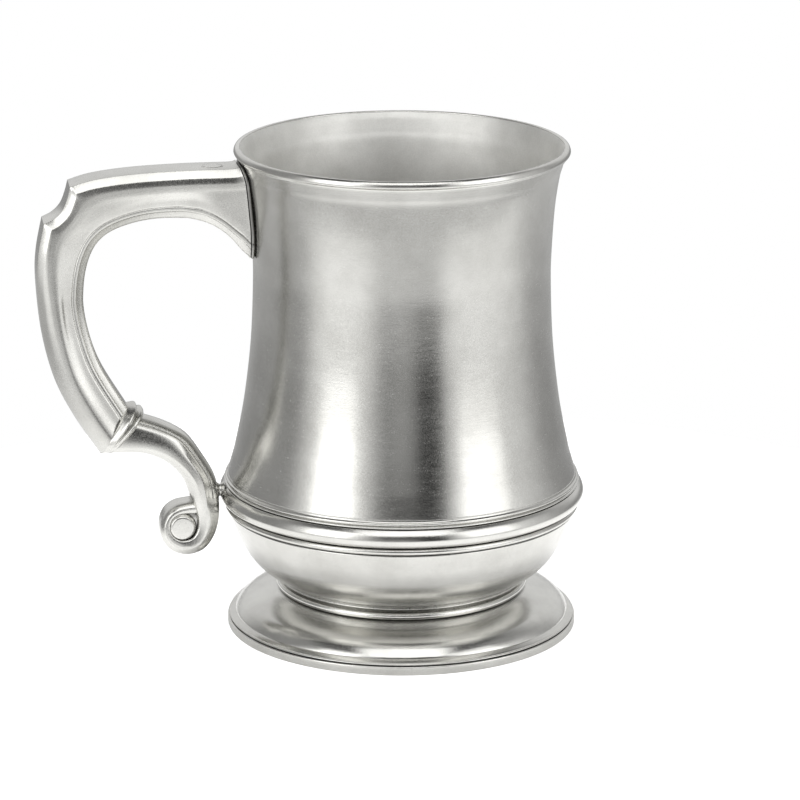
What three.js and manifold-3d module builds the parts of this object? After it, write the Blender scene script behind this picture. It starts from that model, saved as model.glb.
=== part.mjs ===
// Pewter tankard: a bell-shaped pint mug on a spread foot, with a hollow-cast scroll handle.
// Millimetres, +Z up. The mug stands on z = 0 and the handle points along -X.
// Every turned piece shares one axis; the handle pieces lie in the plane y = 0.

import * as THREE from 'three';
import { LoftGeometry } from 'three/addons/geometries/LoftGeometry.js';
import { mergeVertices } from 'three/addons/utils/BufferGeometryUtils.js';
import Module from 'manifold-3d';

const wasm = await Module();
wasm.setup();

// ---- driving dimensions -------------------------------------------------------------------

const GAP = 0.3;                // clearance left between two soldered pieces
const WALL = 1.3;               // thickness of the drinking wall

const LIP_RADIUS = 44.0;        // outside of the lip moulding
const LIP_TOP = 130.1;
const LIP_BASE = 127.3;

const WAIST_RADIUS = 39.15;     // narrowest part of the bell
const WAIST_HEIGHT = 94.0;

const GIRDLE_RADIUS = 48.45;    // widest moulding of the body
const GIRDLE_TOP = 41.7;
const GIRDLE_BASE = 32.6;
const SEAT_RADIUS = 45.2;       // the plain band under the girdle mouldings
const SEAM_HEIGHT = 37.0;       // where the bell meets the bowl

const BOWL_BASE = 13.3;
const NECK_RADIUS = 31.0;
const FOOT_RADIUS = 46.5;
const FOOT_BAND = 2.35;         // height of the upright edge of the foot

const HANDLE_REACH = 96.0;      // from the axis to the outside of the handle
const SPINE_HALF = 5.3;         // half the width of the flat strip along the handle's back
const BELLY_HALF = 6.3;         // half the widest part of the handle's sides
const PAD_THICKNESS = 1.0;
const VENT = { reach: 49.8, length: 5.8, width: 4.0 };
const STRUT = { height: 38.2, radius: 1.7 };   // the casting's short link to the girdle
const EYE = { reach: 59.1, height: 29.6, radius: 3.4, half: 5.4 };

const AXIS_X = (HANDLE_REACH - GIRDLE_RADIUS) / 2;   // puts the middle of the box on x = 0

const TURN_STEPS = 40;           // facets round a turned piece
const CURVE_STEPS = 3;           // facets along one short curve of a half section

// ---- materials ----------------------------------------------------------------------------

const pewter = (color, roughness) => new THREE.MeshStandardMaterial({ color, roughness, metalness: 1.0 });

const satinWall = () => pewter(0xbcbab4, 0.36);
const brightMoulding = () => pewter(0xc6c4be, 0.28);
const castHandle = () => pewter(0xc2c0ba, 0.32);
const darkJoint = () => pewter(0x8f8d87, 0.45);

// ---- helpers for turned pieces --------------------------------------------------------------

const at = (x, y) => new THREE.Vector2(x, y);

// How many straight facets a stretch of a half section is drawn with.
function facetsOf(curve) {
  if (curve.isLineCurve) {
    return 1;
  }
  return curve.isSplineCurve ? Math.round(1.5 * (curve.points.length - 1)) : CURVE_STEPS;
}

function sectionPoints(path) {
  const points = [path.curves[0].getPoint(0)];
  for (const curve of path.curves) {
    const steps = facetsOf(curve);
    for (let i = 1; i <= steps; i += 1) {
      points.push(curve.getPoint(i / steps));
    }
  }
  return points;
}

// Half sections are turned anticlockwise, which leaves the faces pointing out.
function anticlockwise(points) {
  return THREE.ShapeUtils.isClockWise(points) ? points.reverse() : points;
}

// Turns a closed half section (radius, height) about the mug's axis.
function turned(path) {
  const geometry = new THREE.LatheGeometry(anticlockwise(sectionPoints(path)), TURN_STEPS);
  geometry.rotateX(Math.PI / 2);
  geometry.translate(AXIS_X, 0, 0);
  return geometry;
}

function node(name, geometry, material) {
  const mesh = new THREE.Mesh(geometry, material);
  mesh.name = name;
  return mesh;
}

// ---- helpers for booleans -------------------------------------------------------------------

function toSolid(geometry) {
  const bare = new THREE.BufferGeometry();
  bare.setAttribute('position', geometry.attributes.position);
  bare.setIndex(geometry.index);
  const merged = mergeVertices(bare);
  return new wasm.Manifold(new wasm.Mesh({
    numProp: 3,
    vertProperties: new Float32Array(merged.attributes.position.array),
    triVerts: new Uint32Array(merged.index.array),
  }));
}

function toGeometry(solid) {
  const mesh = solid.getMesh();
  const geometry = new THREE.BufferGeometry();
  geometry.setAttribute('position', new THREE.BufferAttribute(mesh.vertProperties, 3));
  geometry.setIndex(new THREE.BufferAttribute(mesh.triVerts, 1));
  geometry.computeVertexNormals();
  return geometry;
}

// ---- body -----------------------------------------------------------------------------------

// The bell's outside as (radius, height), from under the lip down to the girdle.
const BELL = [
  at(42.7, 127.0), at(41.11, 122.0), at(40.0, 114.0), at(39.3, 103.0), at(WAIST_RADIUS, WAIST_HEIGHT),
  at(39.84, 78.0), at(41.71, 62.0), at(44.05, 50.0), at(46.2, 42.1),
];

const inward = (points, by) => points.map((p) => at(p.x - by, p.y)).reverse();

function upperBody() {
  const path = new THREE.Path();
  path.moveTo(BELL[0].x, BELL[0].y);
  path.splineThru(BELL.slice(1));
  path.lineTo(SEAT_RADIUS, 42.0);
  path.lineTo(SEAT_RADIUS, SEAM_HEIGHT);
  path.lineTo(SEAT_RADIUS - WALL, SEAM_HEIGHT);
  path.splineThru(inward(BELL.slice(0, -1), WALL));
  path.lineTo(BELL[0].x, BELL[0].y);
  return node('upper_body', turned(path), satinWall());
}

function rimBand() {
  const path = new THREE.Path();
  path.moveTo(41.5, LIP_BASE);
  path.lineTo(43.1, LIP_BASE);
  path.quadraticCurveTo(43.5, LIP_BASE + 0.4, 43.35, LIP_BASE + 0.8);
  path.quadraticCurveTo(LIP_RADIUS, LIP_BASE + 1.0, LIP_RADIUS, LIP_TOP - 1.1);
  path.quadraticCurveTo(LIP_RADIUS, LIP_TOP, LIP_RADIUS - 0.8, LIP_TOP);
  path.lineTo(LIP_RADIUS - 1.3, LIP_TOP - 0.1);
  path.quadraticCurveTo(LIP_RADIUS - 1.7, LIP_TOP - 0.5, 41.5, LIP_BASE);
  return node('rim_band', turned(path), brightMoulding());
}

function girdleUpperFillet() {
  const inner = SEAT_RADIUS + GAP;
  const base = 40.3;
  const path = new THREE.Path();
  path.moveTo(inner, base);
  path.lineTo(47.15, base);
  path.lineTo(47.3, base + 0.2);
  path.quadraticCurveTo(46.5, base + 0.5, 46.45, GIRDLE_TOP - 0.2);
  path.lineTo(46.1, GIRDLE_TOP);
  path.lineTo(inner, GIRDLE_TOP);
  path.lineTo(inner, base);
  return node('girdle_upper_fillet', turned(path), brightMoulding());
}

function girdleTorus() {
  const inner = SEAT_RADIUS + GAP;
  const top = 40.0;
  const base = 34.7;
  const path = new THREE.Path();
  path.moveTo(inner, base);
  path.lineTo(46.8, base);
  path.splineThru([at(48.1, 35.4), at(GIRDLE_RADIUS, 36.8), at(48.1, 38.4), at(47.2, 39.6), at(46.6, top)]);
  path.lineTo(inner, top);
  path.lineTo(inner, base);
  return node('girdle_torus', turned(path), brightMoulding());
}

function girdleLowerBead() {
  const inner = SEAT_RADIUS + GAP;
  const top = 34.4;
  const path = new THREE.Path();
  path.moveTo(inner, GIRDLE_BASE);
  path.lineTo(46.5, GIRDLE_BASE);
  path.splineThru([at(47.05, 33.0), at(47.15, 33.5), at(46.9, 34.0), at(46.5, top)]);
  path.lineTo(inner, top);
  path.lineTo(inner, GIRDLE_BASE);
  return node('girdle_lower_bead', turned(path), brightMoulding());
}

// The bowl under the girdle, closed by the mug's floor.
function lowerBowl() {
  const bowlTop = SEAM_HEIGHT - GAP;
  const path = new THREE.Path();
  path.moveTo(0, BOWL_BASE);
  path.lineTo(NECK_RADIUS, BOWL_BASE);
  path.splineThru([
    at(32.8, 14.6), at(36.4, 16.6), at(40.0, 19.6), at(43.0, 24.0), at(45.0, 28.8), at(46.2, 32.3),
  ]);
  path.lineTo(SEAT_RADIUS, 32.3);
  path.lineTo(SEAT_RADIUS, bowlTop);
  path.lineTo(SEAT_RADIUS - WALL, bowlTop);
  path.splineThru([at(43.6, 32.0), at(42.2, 26.6), at(39.0, 21.0), at(34.0, 17.0), at(26.0, 15.5)]);
  path.lineTo(0, 15.3);
  return node('lower_bowl', turned(path), satinWall());
}

// ---- foot -----------------------------------------------------------------------------------

function neckBead() {
  const inner = NECK_RADIUS + GAP;
  const path = new THREE.Path();
  path.moveTo(inner, 10.9);
  path.lineTo(32.9, 10.9);
  path.splineThru([at(33.45, 11.35), at(33.5, 11.9), at(33.0, 12.5), at(32.2, 12.9)]);
  path.lineTo(inner, 12.9);
  path.lineTo(inner, 10.9);
  return node('neck_bead', turned(path), brightMoulding());
}

// A thin ogee shell, open underneath, with a flat ring at the top that carries the bowl.
function foot() {
  const seat = BOWL_BASE - GAP;
  const rimTop = FOOT_BAND + GAP;
  const path = new THREE.Path();
  path.moveTo(27.0, seat);
  path.lineTo(NECK_RADIUS, seat);
  path.lineTo(NECK_RADIUS, 10.6);
  path.lineTo(33.2, 10.6);
  path.splineThru([at(34.3, 9.7), at(36.6, 8.9), at(39.6, 7.7), at(42.6, 5.9), at(44.7, 4.1), at(45.6, 3.1)]);
  path.lineTo(45.5, rimTop);
  path.lineTo(43.9, rimTop);
  path.splineThru([at(42.9, 4.1), at(40.2, 6.0), at(36.0, 7.6), at(31.5, 8.8), at(29.0, 10.4)]);
  path.lineTo(27.0, 11.2);
  path.lineTo(27.0, seat);
  return node('foot', turned(path), satinWall());
}

function footRim() {
  const path = new THREE.Path();
  path.moveTo(43.3, 0);
  path.lineTo(FOOT_RADIUS - 0.3, 0);
  path.lineTo(FOOT_RADIUS, 0.3);
  path.lineTo(FOOT_RADIUS, FOOT_BAND - 0.25);
  path.lineTo(FOOT_RADIUS - 0.3, FOOT_BAND);
  path.lineTo(43.3, FOOT_BAND);
  path.lineTo(43.3, 0);
  return node('foot_rim', turned(path), brightMoulding());
}

// ---- handle ---------------------------------------------------------------------------------

// The handle is drawn in its own plane as (reach from the mug's axis, height).
// Its back is the outside of the curve and its front faces the mug.

function curveThrough(...points) {
  return new THREE.SplineCurve(points);
}

const ARM_BACK = [
  curveThrough(at(40.0, 126.0), at(57.0, 126.0), at(70.7, 125.5), at(81.0, 124.3), at(87.1, 122.6)),
  curveThrough(at(87.1, 122.6), at(87.9, 119.6), at(89.2, 116.5), at(91.4, 114.3), at(94.0, 113.0)),
  curveThrough(
    at(94.0, 113.0), at(95.7, 104.5), at(HANDLE_REACH, 96.5), at(94.7, 83.0), at(91.3, 70.5),
    at(86.0, 60.0), at(79.4, 49.9),
  ),
];
const ARM_FRONT = [
  curveThrough(
    at(39.6, 101.0), at(42.8, 103.9), at(46.4, 108.3), at(52.0, 111.8), at(60.0, 113.5),
    at(69.0, 113.1), at(76.2, 110.7),
  ),
  curveThrough(at(76.2, 110.7), at(78.4, 109.2), at(80.4, 107.2), at(81.8, 105.3)),
  curveThrough(
    at(81.8, 105.3), at(83.6, 99.8), at(84.1, 92.0), at(82.8, 83.6), at(79.6, 74.0), at(73.0, 62.6),
  ),
];
const ARM_STEPS = [10, 6, 14];

const SCROLL_FRONT = [
  curveThrough(at(69.4, 60.7), at(63.2, 58.6), at(57.8, 55.1), at(53.2, 48.6), at(50.3, 42.6), at(49.3, 37.2)),
  curveThrough(
    at(49.3, 37.2), at(49.2, 32.0), at(50.4, 26.8), at(53.2, 23.0), at(57.5, 21.6), at(61.6, 22.7),
    at(64.2, 25.6), at(64.9, 29.2), at(63.6, 33.0), at(61.0, 35.0), at(57.9, 35.3),
  ),
];
const SCROLL_BACK = [
  curveThrough(at(77.6, 50.1), at(70.5, 49.9), at(64.8, 48.0), at(61.0, 45.2), at(58.3, 41.6), at(56.9, 37.6)),
  curveThrough(
    at(56.9, 37.6), at(55.6, 33.6), at(55.2, 29.8), at(56.3, 26.9), at(58.9, 25.7), at(61.1, 26.2),
    at(62.7, 27.9), at(63.1, 30.2), at(62.2, 32.4), at(60.6, 33.5), at(57.9, 33.7),
  ),
];
const SCROLL_STEPS = [9, 20];

// Half outlines of the handle's section, from its back to its front.
// Each entry is (distance in from the back, half width); a negative distance counts from the front.
const CRISP_OUTLINE = [
  [0, SPINE_HALF], [0.8, SPINE_HALF + 0.5], [1.7, SPINE_HALF + 0.5], [2.8, SPINE_HALF + 0.2],
  [5.6, BELLY_HALF], [-4.4, BELLY_HALF], [-3.1, BELLY_HALF - 0.3], [-2.9, BELLY_HALF - 0.8],
  [-2.0, BELLY_HALF - 0.9], [-0.9, BELLY_HALF - 2.0], [0, BELLY_HALF - 2.6],
];
const SOFT_OUTLINE = [
  [0, 2.2], [0.7, 3.9], [1.9, 5.2], [3.4, 5.95],
  [5.6, BELLY_HALF], [-4.4, BELLY_HALF], [-3.1, BELLY_HALF - 0.3], [-2.9, BELLY_HALF - 0.8],
  [-2.0, BELLY_HALF - 0.9], [-0.9, BELLY_HALF - 2.0], [0, BELLY_HALF - 2.6],
];

const inPlane = (p, y) => new THREE.Vector3(AXIS_X - p.x, y, p.y);

// One closed ring of points round the handle. `outline` holds (share of the depth, half width).
function ring(back, front, outline) {
  const far = outline.map(([share, half]) => inPlane(back.clone().lerp(front, share), half));
  const near = outline.map(([share, half]) => inPlane(back.clone().lerp(front, share), -half));
  return [...far, ...near.reverse()];
}

function armOutline(depth, softness) {
  const last = CRISP_OUTLINE.length - 1;
  return CRISP_OUTLINE.map(([crispIn, crispHalf], i) => {
    const [softIn, softHalf] = SOFT_OUTLINE[i];
    const distance = THREE.MathUtils.lerp(crispIn, softIn, softness);
    const fromFront = i === last || crispIn < 0;
    const share = (fromFront ? depth + distance : distance) / depth;
    return [share, THREE.MathUtils.lerp(crispHalf, softHalf, softness)];
  });
}

function ovalOutline(half, steps, squareness) {
  return Array.from({ length: steps + 1 }, (_, i) => {
    const angle = Math.PI * (i + 0.5) / (steps + 1);
    return [0.5 - 0.5 * Math.cos(angle) / Math.cos(Math.PI / (2 * steps + 2)), half * Math.sin(angle) ** squareness];
  });
}

// Pairs of back and front points, evenly spaced along each stretch of the two curves.
function stations(backs, fronts, steps) {
  const pairs = [];
  steps.forEach((count, k) => {
    for (let i = k === 0 ? 0 : 1; i <= count; i += 1) {
      pairs.push([backs[k].getPointAt(i / count), fronts[k].getPointAt(i / count)]);
    }
  });
  return pairs;
}

function loft(rings) {
  return new LoftGeometry(rings, { capStart: true, capEnd: true });
}

// A solid of revolution as wide as the bell plus `clearance`, over the height of the handle's end.
function bellPlus(clearance) {
  const path = new THREE.Path();
  path.moveTo(0, WAIST_HEIGHT);
  path.lineTo(WAIST_RADIUS + clearance, WAIST_HEIGHT);
  path.splineThru([...BELL].reverse().slice(5).map((p) => at(p.x + clearance, p.y)));
  path.lineTo(0, BELL[0].y);
  return toSolid(turned(path));
}

function ventPrism(length, width, top, depth) {
  const shape = new THREE.Shape();
  shape.absellipse(VENT.reach, 0, length / 2, width / 2, 0, 2 * Math.PI, false, 0);
  const geometry = new THREE.ExtrudeGeometry(shape, { depth, bevelEnabled: false, curveSegments: 12 });
  geometry.rotateX(Math.PI);
  geometry.rotateZ(Math.PI);
  geometry.translate(AXIS_X, 0, top);
  return geometry;
}

function upperArm() {
  const pairs = stations(ARM_BACK, ARM_FRONT, ARM_STEPS);
  const softening = pairs.length - 1 - ARM_STEPS[2] / 2;
  const outside = pairs.map(([back, front], i) => {
    const softness = THREE.MathUtils.smoothstep(i, ARM_STEPS[0] + ARM_STEPS[1], softening);
    return ring(back, front, armOutline(back.distanceTo(front), softness));
  });
  const inside = pairs.slice(2, -2).map(([back, front]) => {
    const thickness = 2.4 / back.distanceTo(front);
    const outline = ovalOutline(BELLY_HALF - 2.2, 7, 0.6);
    return ring(back, front, outline.map(([share, half]) => [thickness + share * (1 - 2 * thickness), half]));
  });
  const solid = toSolid(loft(outside))
    .subtract(toSolid(loft(inside)))
    .subtract(toSolid(ventPrism(VENT.length + 2 * GAP, VENT.width + 2 * GAP, 128, 6)))
    .subtract(bellPlus(2 * GAP + PAD_THICKNESS));
  return node('handle_upper_arm', toGeometry(solid), castHandle());
}

function ventPlug() {
  return node('handle_vent_plug', ventPrism(VENT.length, VENT.width, 125.95, 1.8), darkJoint());
}

// A thin plate, curved to the bell, that spreads the handle's upper joint.
function handlePad() {
  const shape = new THREE.Shape();
  shape.moveTo(-5.4, 102.6);
  shape.quadraticCurveTo(0, 101.0, 5.4, 102.6);
  shape.quadraticCurveTo(7.0, 114.0, 6.0, 126.3);
  shape.lineTo(-6.0, 126.3);
  shape.quadraticCurveTo(-7.0, 114.0, -5.4, 102.6);
  const slab = new THREE.ExtrudeGeometry(shape, { depth: 20, bevelEnabled: false, curveSegments: 6 });
  slab.rotateX(Math.PI / 2);
  slab.rotateZ(-Math.PI / 2);
  slab.translate(AXIS_X - 30, 0, 0);
  const solid = toSolid(slab).intersect(bellPlus(GAP + PAD_THICKNESS)).subtract(bellPlus(GAP));
  return node('handle_pad', toGeometry(solid), darkJoint());
}

// The wedge-shaped knuckle with two ridges, between the arm and the scroll.
function handleCollar() {
  const backs = [at(78.9, 50.0), at(77.9, 50.05)];
  const fronts = [at(72.7, 62.5), at(69.7, 60.9)];
  const swell = [0.1, 0.9, 0.9, 0.35, 0.9, 0.9, 0.1];
  const rings = swell.map((proud, i) => {
    const share = i / (swell.length - 1);
    const back = backs[0].clone().lerp(backs[1], share);
    const front = fronts[0].clone().lerp(fronts[1], share);
    const out = front.clone().sub(back).setLength(proud);
    return ring(back, front.clone().add(out), ovalOutline(BELLY_HALF - 0.4 + proud, 11, 0.7));
  });
  return node('handle_collar', loft(rings), castHandle());
}

function lowerScroll() {
  const pairs = stations(SCROLL_BACK, SCROLL_FRONT, SCROLL_STEPS);
  const rings = pairs.map(([back, front], i) => {
    const half = THREE.MathUtils.lerp(BELLY_HALF - 0.5, 4.0, THREE.MathUtils.smoothstep(i, 0, pairs.length - 1));
    return ring(back, front, ovalOutline(half, 11, 0.75));
  });
  const start = GIRDLE_RADIUS + GAP;
  const length = 4;
  const strut = new THREE.CylinderGeometry(STRUT.radius, STRUT.radius, length, 16);
  strut.rotateZ(Math.PI / 2);
  strut.translate(AXIS_X - start - length / 2, 0, STRUT.height);
  return node('handle_lower_scroll', toGeometry(toSolid(loft(rings)).add(toSolid(strut))), castHandle());
}

// The round eye that fills the heart of the scroll, domed on both sides.
function voluteEye() {
  const path = new THREE.Path();
  path.moveTo(0, -EYE.half);
  path.quadraticCurveTo(EYE.radius * 0.9, -EYE.half, EYE.radius, -EYE.half + 1.6);
  path.lineTo(EYE.radius, EYE.half - 1.6);
  path.quadraticCurveTo(EYE.radius * 0.9, EYE.half, 0, EYE.half);
  const geometry = new THREE.LatheGeometry(anticlockwise(sectionPoints(path)), 24);
  geometry.translate(AXIS_X - EYE.reach, 0, EYE.height);
  return node('volute_eye', geometry, castHandle());
}

// ---- assembly -------------------------------------------------------------------------------

const tankard = new THREE.Group();
tankard.name = 'pewter_tankard';
tankard.add(
  upperBody(), rimBand(), girdleUpperFillet(), girdleTorus(), girdleLowerBead(), lowerBowl(),
  neckBead(), foot(), footRim(),
  upperArm(), ventPlug(), handlePad(), handleCollar(), lowerScroll(), voluteEye(),
);

export default tankard;
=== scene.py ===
# %% [markdown]
# # A pewter tankard
#
# The real mug is soft, grey pewter. Its bell wall, bowl and foot are spun or cast and then turned
# on a lathe; the mouldings are rings soldered over the joints; the handle is cast hollow, cleaned
# up by hand and soldered on at two places. Nothing on it moves. Each of those pieces is made here
# as its own object, in the same way: turned pieces are spun from a half section, and handle
# pieces are pulled along the handle one cross section at a time.

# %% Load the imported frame
import math

import bmesh
import bpy
from mathutils import Matrix, Vector
from mathutils.bvhtree import BVHTree


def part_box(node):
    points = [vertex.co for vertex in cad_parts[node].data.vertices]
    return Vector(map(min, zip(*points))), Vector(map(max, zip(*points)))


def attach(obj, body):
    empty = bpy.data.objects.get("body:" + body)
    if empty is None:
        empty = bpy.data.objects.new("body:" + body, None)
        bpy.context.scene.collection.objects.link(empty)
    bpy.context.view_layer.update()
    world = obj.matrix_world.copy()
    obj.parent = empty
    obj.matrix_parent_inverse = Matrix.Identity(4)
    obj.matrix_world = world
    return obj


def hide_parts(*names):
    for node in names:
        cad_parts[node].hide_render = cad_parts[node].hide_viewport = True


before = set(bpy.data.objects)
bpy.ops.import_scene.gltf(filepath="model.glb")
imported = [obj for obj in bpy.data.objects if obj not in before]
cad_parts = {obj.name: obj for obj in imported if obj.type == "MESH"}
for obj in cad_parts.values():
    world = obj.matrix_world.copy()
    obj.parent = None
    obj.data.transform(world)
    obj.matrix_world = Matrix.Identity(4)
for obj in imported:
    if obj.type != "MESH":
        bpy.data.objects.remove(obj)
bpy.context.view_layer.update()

# %% [markdown]
# ## Measures taken from the frame
#
# The frame already says how wide and how high each piece stands, so those numbers are read from
# it and not typed again. Lengths are kept in millimetres while a section is drawn, because that is
# how a turner thinks, and become metres when a point is placed.

# %% Sizes of the turned pieces
MM = 0.001


def ring_size(node):
    """(outside radius, base height, top height) of a turned piece, in millimetres."""
    low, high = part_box(node)
    return (high[0] - low[0]) / 2 / MM, low[2] / MM, high[2] / MM


wall_low, wall_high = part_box("upper_body")
axis_x = (wall_low[0] + wall_high[0]) / 2
lip_radius, lip_base, lip_top = ring_size("rim_band")
torus_radius, torus_base, torus_top = ring_size("girdle_torus")
fillet_radius = ring_size("girdle_upper_fillet")[0]
bead_radius, bead_base, bead_top = ring_size("girdle_lower_bead")
bowl_base, bowl_top = ring_size("lower_bowl")[1:]
neck_radius, neck_base, neck_top = ring_size("neck_bead")
foot_top = ring_size("foot")[2]
edge_radius, edge_base, edge_top = ring_size("foot_rim")
print("axis x", round(axis_x / MM, 2), "lip", lip_radius, lip_top, "torus", torus_radius)
print("foot edge", edge_radius, "wide and", edge_top, "high")

# %% [markdown]
# ## Drawing smooth sections
#
# A turner's template is a few points with a fair curve through them. `through` draws that curve,
# and `arc` draws a true round for a bead or a rounded edge. Both give plain lists of points, so a
# whole section is just one list added to the next.

# %% Fair curves and arcs
def through(points, steps=8):
    """A fair curve through the points, with `steps` short lines between each pair."""
    padded = [points[0], *points, points[-1]]
    drawn = [points[0]]
    for a, b, c, d in zip(padded, padded[1:], padded[2:], padded[3:]):
        for i in range(1, steps + 1):
            t = i / steps
            drawn.append(tuple(
                0.5 * (
                    2 * q + (r - p) * t + (2 * p - 5 * q + 4 * r - s) * t ** 2
                    + (3 * q - p - 3 * r + s) * t ** 3
                )
                for p, q, r, s in zip(a, b, c, d)
            ))
    return drawn


def arc(centre, radius, start, end, steps=8):
    """A round from angle `start` to `end` in degrees, counted anticlockwise from outwards."""
    angles = [math.radians(start + (end - start) * i / steps) for i in range(steps + 1)]
    return [(centre[0] + radius * math.cos(a), centre[1] + radius * math.sin(a)) for a in angles]


# %% [markdown]
# ## Turning a piece
#
# On the lathe the wall is a flat template swept round the axis. The same happens here: one point
# is extruded along the half section, the last point is tied to the first, and the wire is spun
# through a full turn. The normals are worked out again after the seam is merged, so that every
# face points out of the metal.

# %% Spin a half section
TURN_STEPS = 160
CREASE = math.radians(38)
pieces, slot_of = [], {}


def finish_mesh(name, bm, body_slot, *nodes):
    """Turns a bmesh into a smooth-shaded piece that rides on the mug and stands for its CAD nodes."""
    bmesh.ops.remove_doubles(bm, verts=bm.verts, dist=1e-7)
    bmesh.ops.recalc_face_normals(bm, faces=bm.faces)
    mesh = bpy.data.meshes.new(name)
    bm.to_mesh(mesh)
    bm.free()
    mesh.shade_smooth()
    mesh.set_sharp_from_angle(angle=CREASE)
    piece = bpy.data.objects.new(name, mesh)
    bpy.context.scene.collection.objects.link(piece)
    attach(piece, "root")
    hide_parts(*nodes)
    pieces.append(piece)
    slot_of[name] = body_slot
    print(name, len(mesh.polygons), "faces")
    return piece


def wire(bm, points):
    """Extrudes one point along a list of places and returns the row of vertices."""
    row = bmesh.ops.create_vert(bm, co=points[0])["vert"]
    for place in points[1:]:
        grown = bmesh.ops.extrude_vert_indiv(bm, verts=[row[-1]])["verts"][0]
        grown.co = place
        row.append(grown)
    return row


def turned(name, section, body_slot, node, steps=TURN_STEPS):
    """Spins a closed half section of (radius, height) about the mug's axis."""
    bm = bmesh.new()
    row = wire(bm, [Vector((axis_x + r * MM, 0, z * MM)) for r, z in section])
    if section[0][0] > 0 or section[-1][0] > 0:
        bm.edges.new((row[-1], row[0]))
    bmesh.ops.spin(
        bm, geom=bm.verts[:] + bm.edges[:], cent=(axis_x, 0, 0), axis=(0, 0, 1),
        angle=math.tau, steps=steps, use_merge=True,
    )
    return finish_mesh(name, bm, body_slot, node)


# %% [markdown]
# ## The bell wall
#
# The drinking wall flares at both ends, with its waist high up. The outside is one fair curve. The
# inside follows it at the thickness of the metal, which a solidify step could also do, but drawing
# both lets the wall tuck under the lip moulding above and behind the girdle below.

# %% Bell wall
WALL = 1.3
bell_outside = [
    (42.55, 127.25), (41.9, 125.0), (41.11, 122.0), (40.0, 114.0), (39.3, 103.0), (39.15, 94.0),
    (39.84, 78.0), (41.71, 62.0), (44.05, 50.0), (45.1, 45.8), (46.25, 42.1),
]
bell_curve = through(bell_outside)
bell_inside = [(r - WALL, z) for r, z in reversed(bell_curve) if z > torus_top]
inner_lip = through([bell_inside[-1], (41.62, 128.4), (42.15, 129.55), (42.32, 129.8)], 5)
seat = bell_outside[-1][0] - 1.2
bell_wall = turned(
    "bell_wall",
    bell_curve + [(46.2, 41.6), (seat, 41.5), (seat, 37.0), (seat - WALL, 37.0)] + bell_inside
    + inner_lip[1:] + [(42.75, 129.8), (42.75, 127.4)],
    "satin_pewter_wall", "upper_body",
)

# %% [markdown]
# ## The lip
#
# A drinking edge has to be stiff and kind to the mouth, so the lip is a thicker ring. It starts with
# a fine square step on the wall and spreads through a soft hollow to a rounded outside, drawn as
# one fair curve. The inner edge, which the mouth meets, is a small true arc.

# %% Lip moulding
lip_section = (
    [(42.5, lip_base), (42.95, lip_base)]
    + through([
        (43.02, 127.55), (43.2, 127.9), (43.5, 128.15), (43.8, 128.38), (43.97, 128.7), (43.98, 129.0),
        (43.88, 129.35), (43.72, 129.7), (43.5, 129.95), (43.2, lip_top),
    ], 5)
    + arc((42.68, lip_top - 0.3), 0.3, 88, 178, 5)
    + [(42.38, 129.4), (42.5, 128.0)]
)
turned("lip_moulding", lip_section, "bright_pewter_moulding", "rim_band")

# %% [markdown]
# ## The girdle
#
# The bell and the bowl meet under a group of three rings, which hide the seam and stiffen the
# widest part: a fine fillet on a little hollow, a broad torus, and a small bead. They are
# separate rings with dark gaps between them, so each one gets its own section.

# %% Girdle rings
ring_seat = 45.0
fillet_section = (
    [(ring_seat, 39.85), (fillet_radius - 0.4, 39.85)]
    + arc((fillet_radius - 0.3, 40.08), 0.25, -80, 70, 6)
    + [(fillet_radius - 0.42, 40.36)]
    + arc((46.5, 40.93), 0.45, -66, 78, 9)
    + through([(46.5, 41.42), (46.38, 41.6), (46.32, 41.8)], 3)
    + [(ring_seat, 41.85)]
)
turned("girdle_fillet", fillet_section, "bright_pewter_moulding", "girdle_upper_fillet")

torus_section = (
    [(ring_seat, torus_base), (46.6, torus_base)]
    + through([
        (47.2, torus_base + 0.05), (48.0, 35.4), (torus_radius, 36.7), (48.3, 37.75), (47.8, 38.75),
        (47.1, 39.5),
    ], 6)
    + [(46.6, 39.62), (ring_seat, 39.62)]
)
turned("girdle_roll", torus_section, "bright_pewter_moulding", "girdle_torus")

bead_middle = (bead_base + bead_top) / 2
bead_section = (
    [(ring_seat, bead_base + 0.05), (bead_radius - 0.8, bead_base + 0.05)]
    + arc((bead_radius - 0.8, bead_middle + 0.02), 0.84, -86, 82, 12)
    + [(ring_seat, bead_top)]
)
turned("girdle_bead", bead_section, "bright_pewter_moulding", "girdle_lower_bead")

# %% [markdown]
# ## The bowl and the floor
#
# Below the girdle the body draws in as a rounded bowl and ends in a flat floor. The outside turns
# under quickly to the neck; the inside is a shallower dish. The section runs from the middle of
# the underside, out and up the outside, over the top edge and back down to the middle of the floor.

# %% Bowl
bowl_outside = [
    (32.95, 13.85), (33.9, 14.35), (35.9, 15.65), (38.9, 18.1), (41.5, 21.3), (43.5, 25.0), (45.1, 29.0),
    (46.3, 32.1),
]
bowl_inside = [
    (43.9, 36.0), (43.6, 32.0), (42.2, 26.6), (39.0, 21.0), (34.0, 17.0), (26.0, 15.5), (12.0, 15.25),
]
bowl_shell = turned(
    "bowl_shell",
    [(0, bowl_base), (32.7, bowl_base)] + arc((32.8, 13.5), 0.2, -80, 70, 5) + through(bowl_outside, 6)
    + [(46.2, 32.3), (45.6, 32.5), (seat - 0.1, 32.6), (seat - 0.1, bowl_top)]
    + through(bowl_inside, 5) + [(0, 15.2)],
    "satin_pewter_wall", "lower_bowl",
)

# %% [markdown]
# ## The neck and the foot
#
# One bead sits in the waist between bowl and foot. The foot is a thin ogee shell: a small hollow
# under the bead, then a low dome that rolls over to the edge. It is open underneath, so from below
# the shell's inside and the bowl's flat bottom show. Its upright edge is a separate band, turned
# with a fine groove above it.

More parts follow.
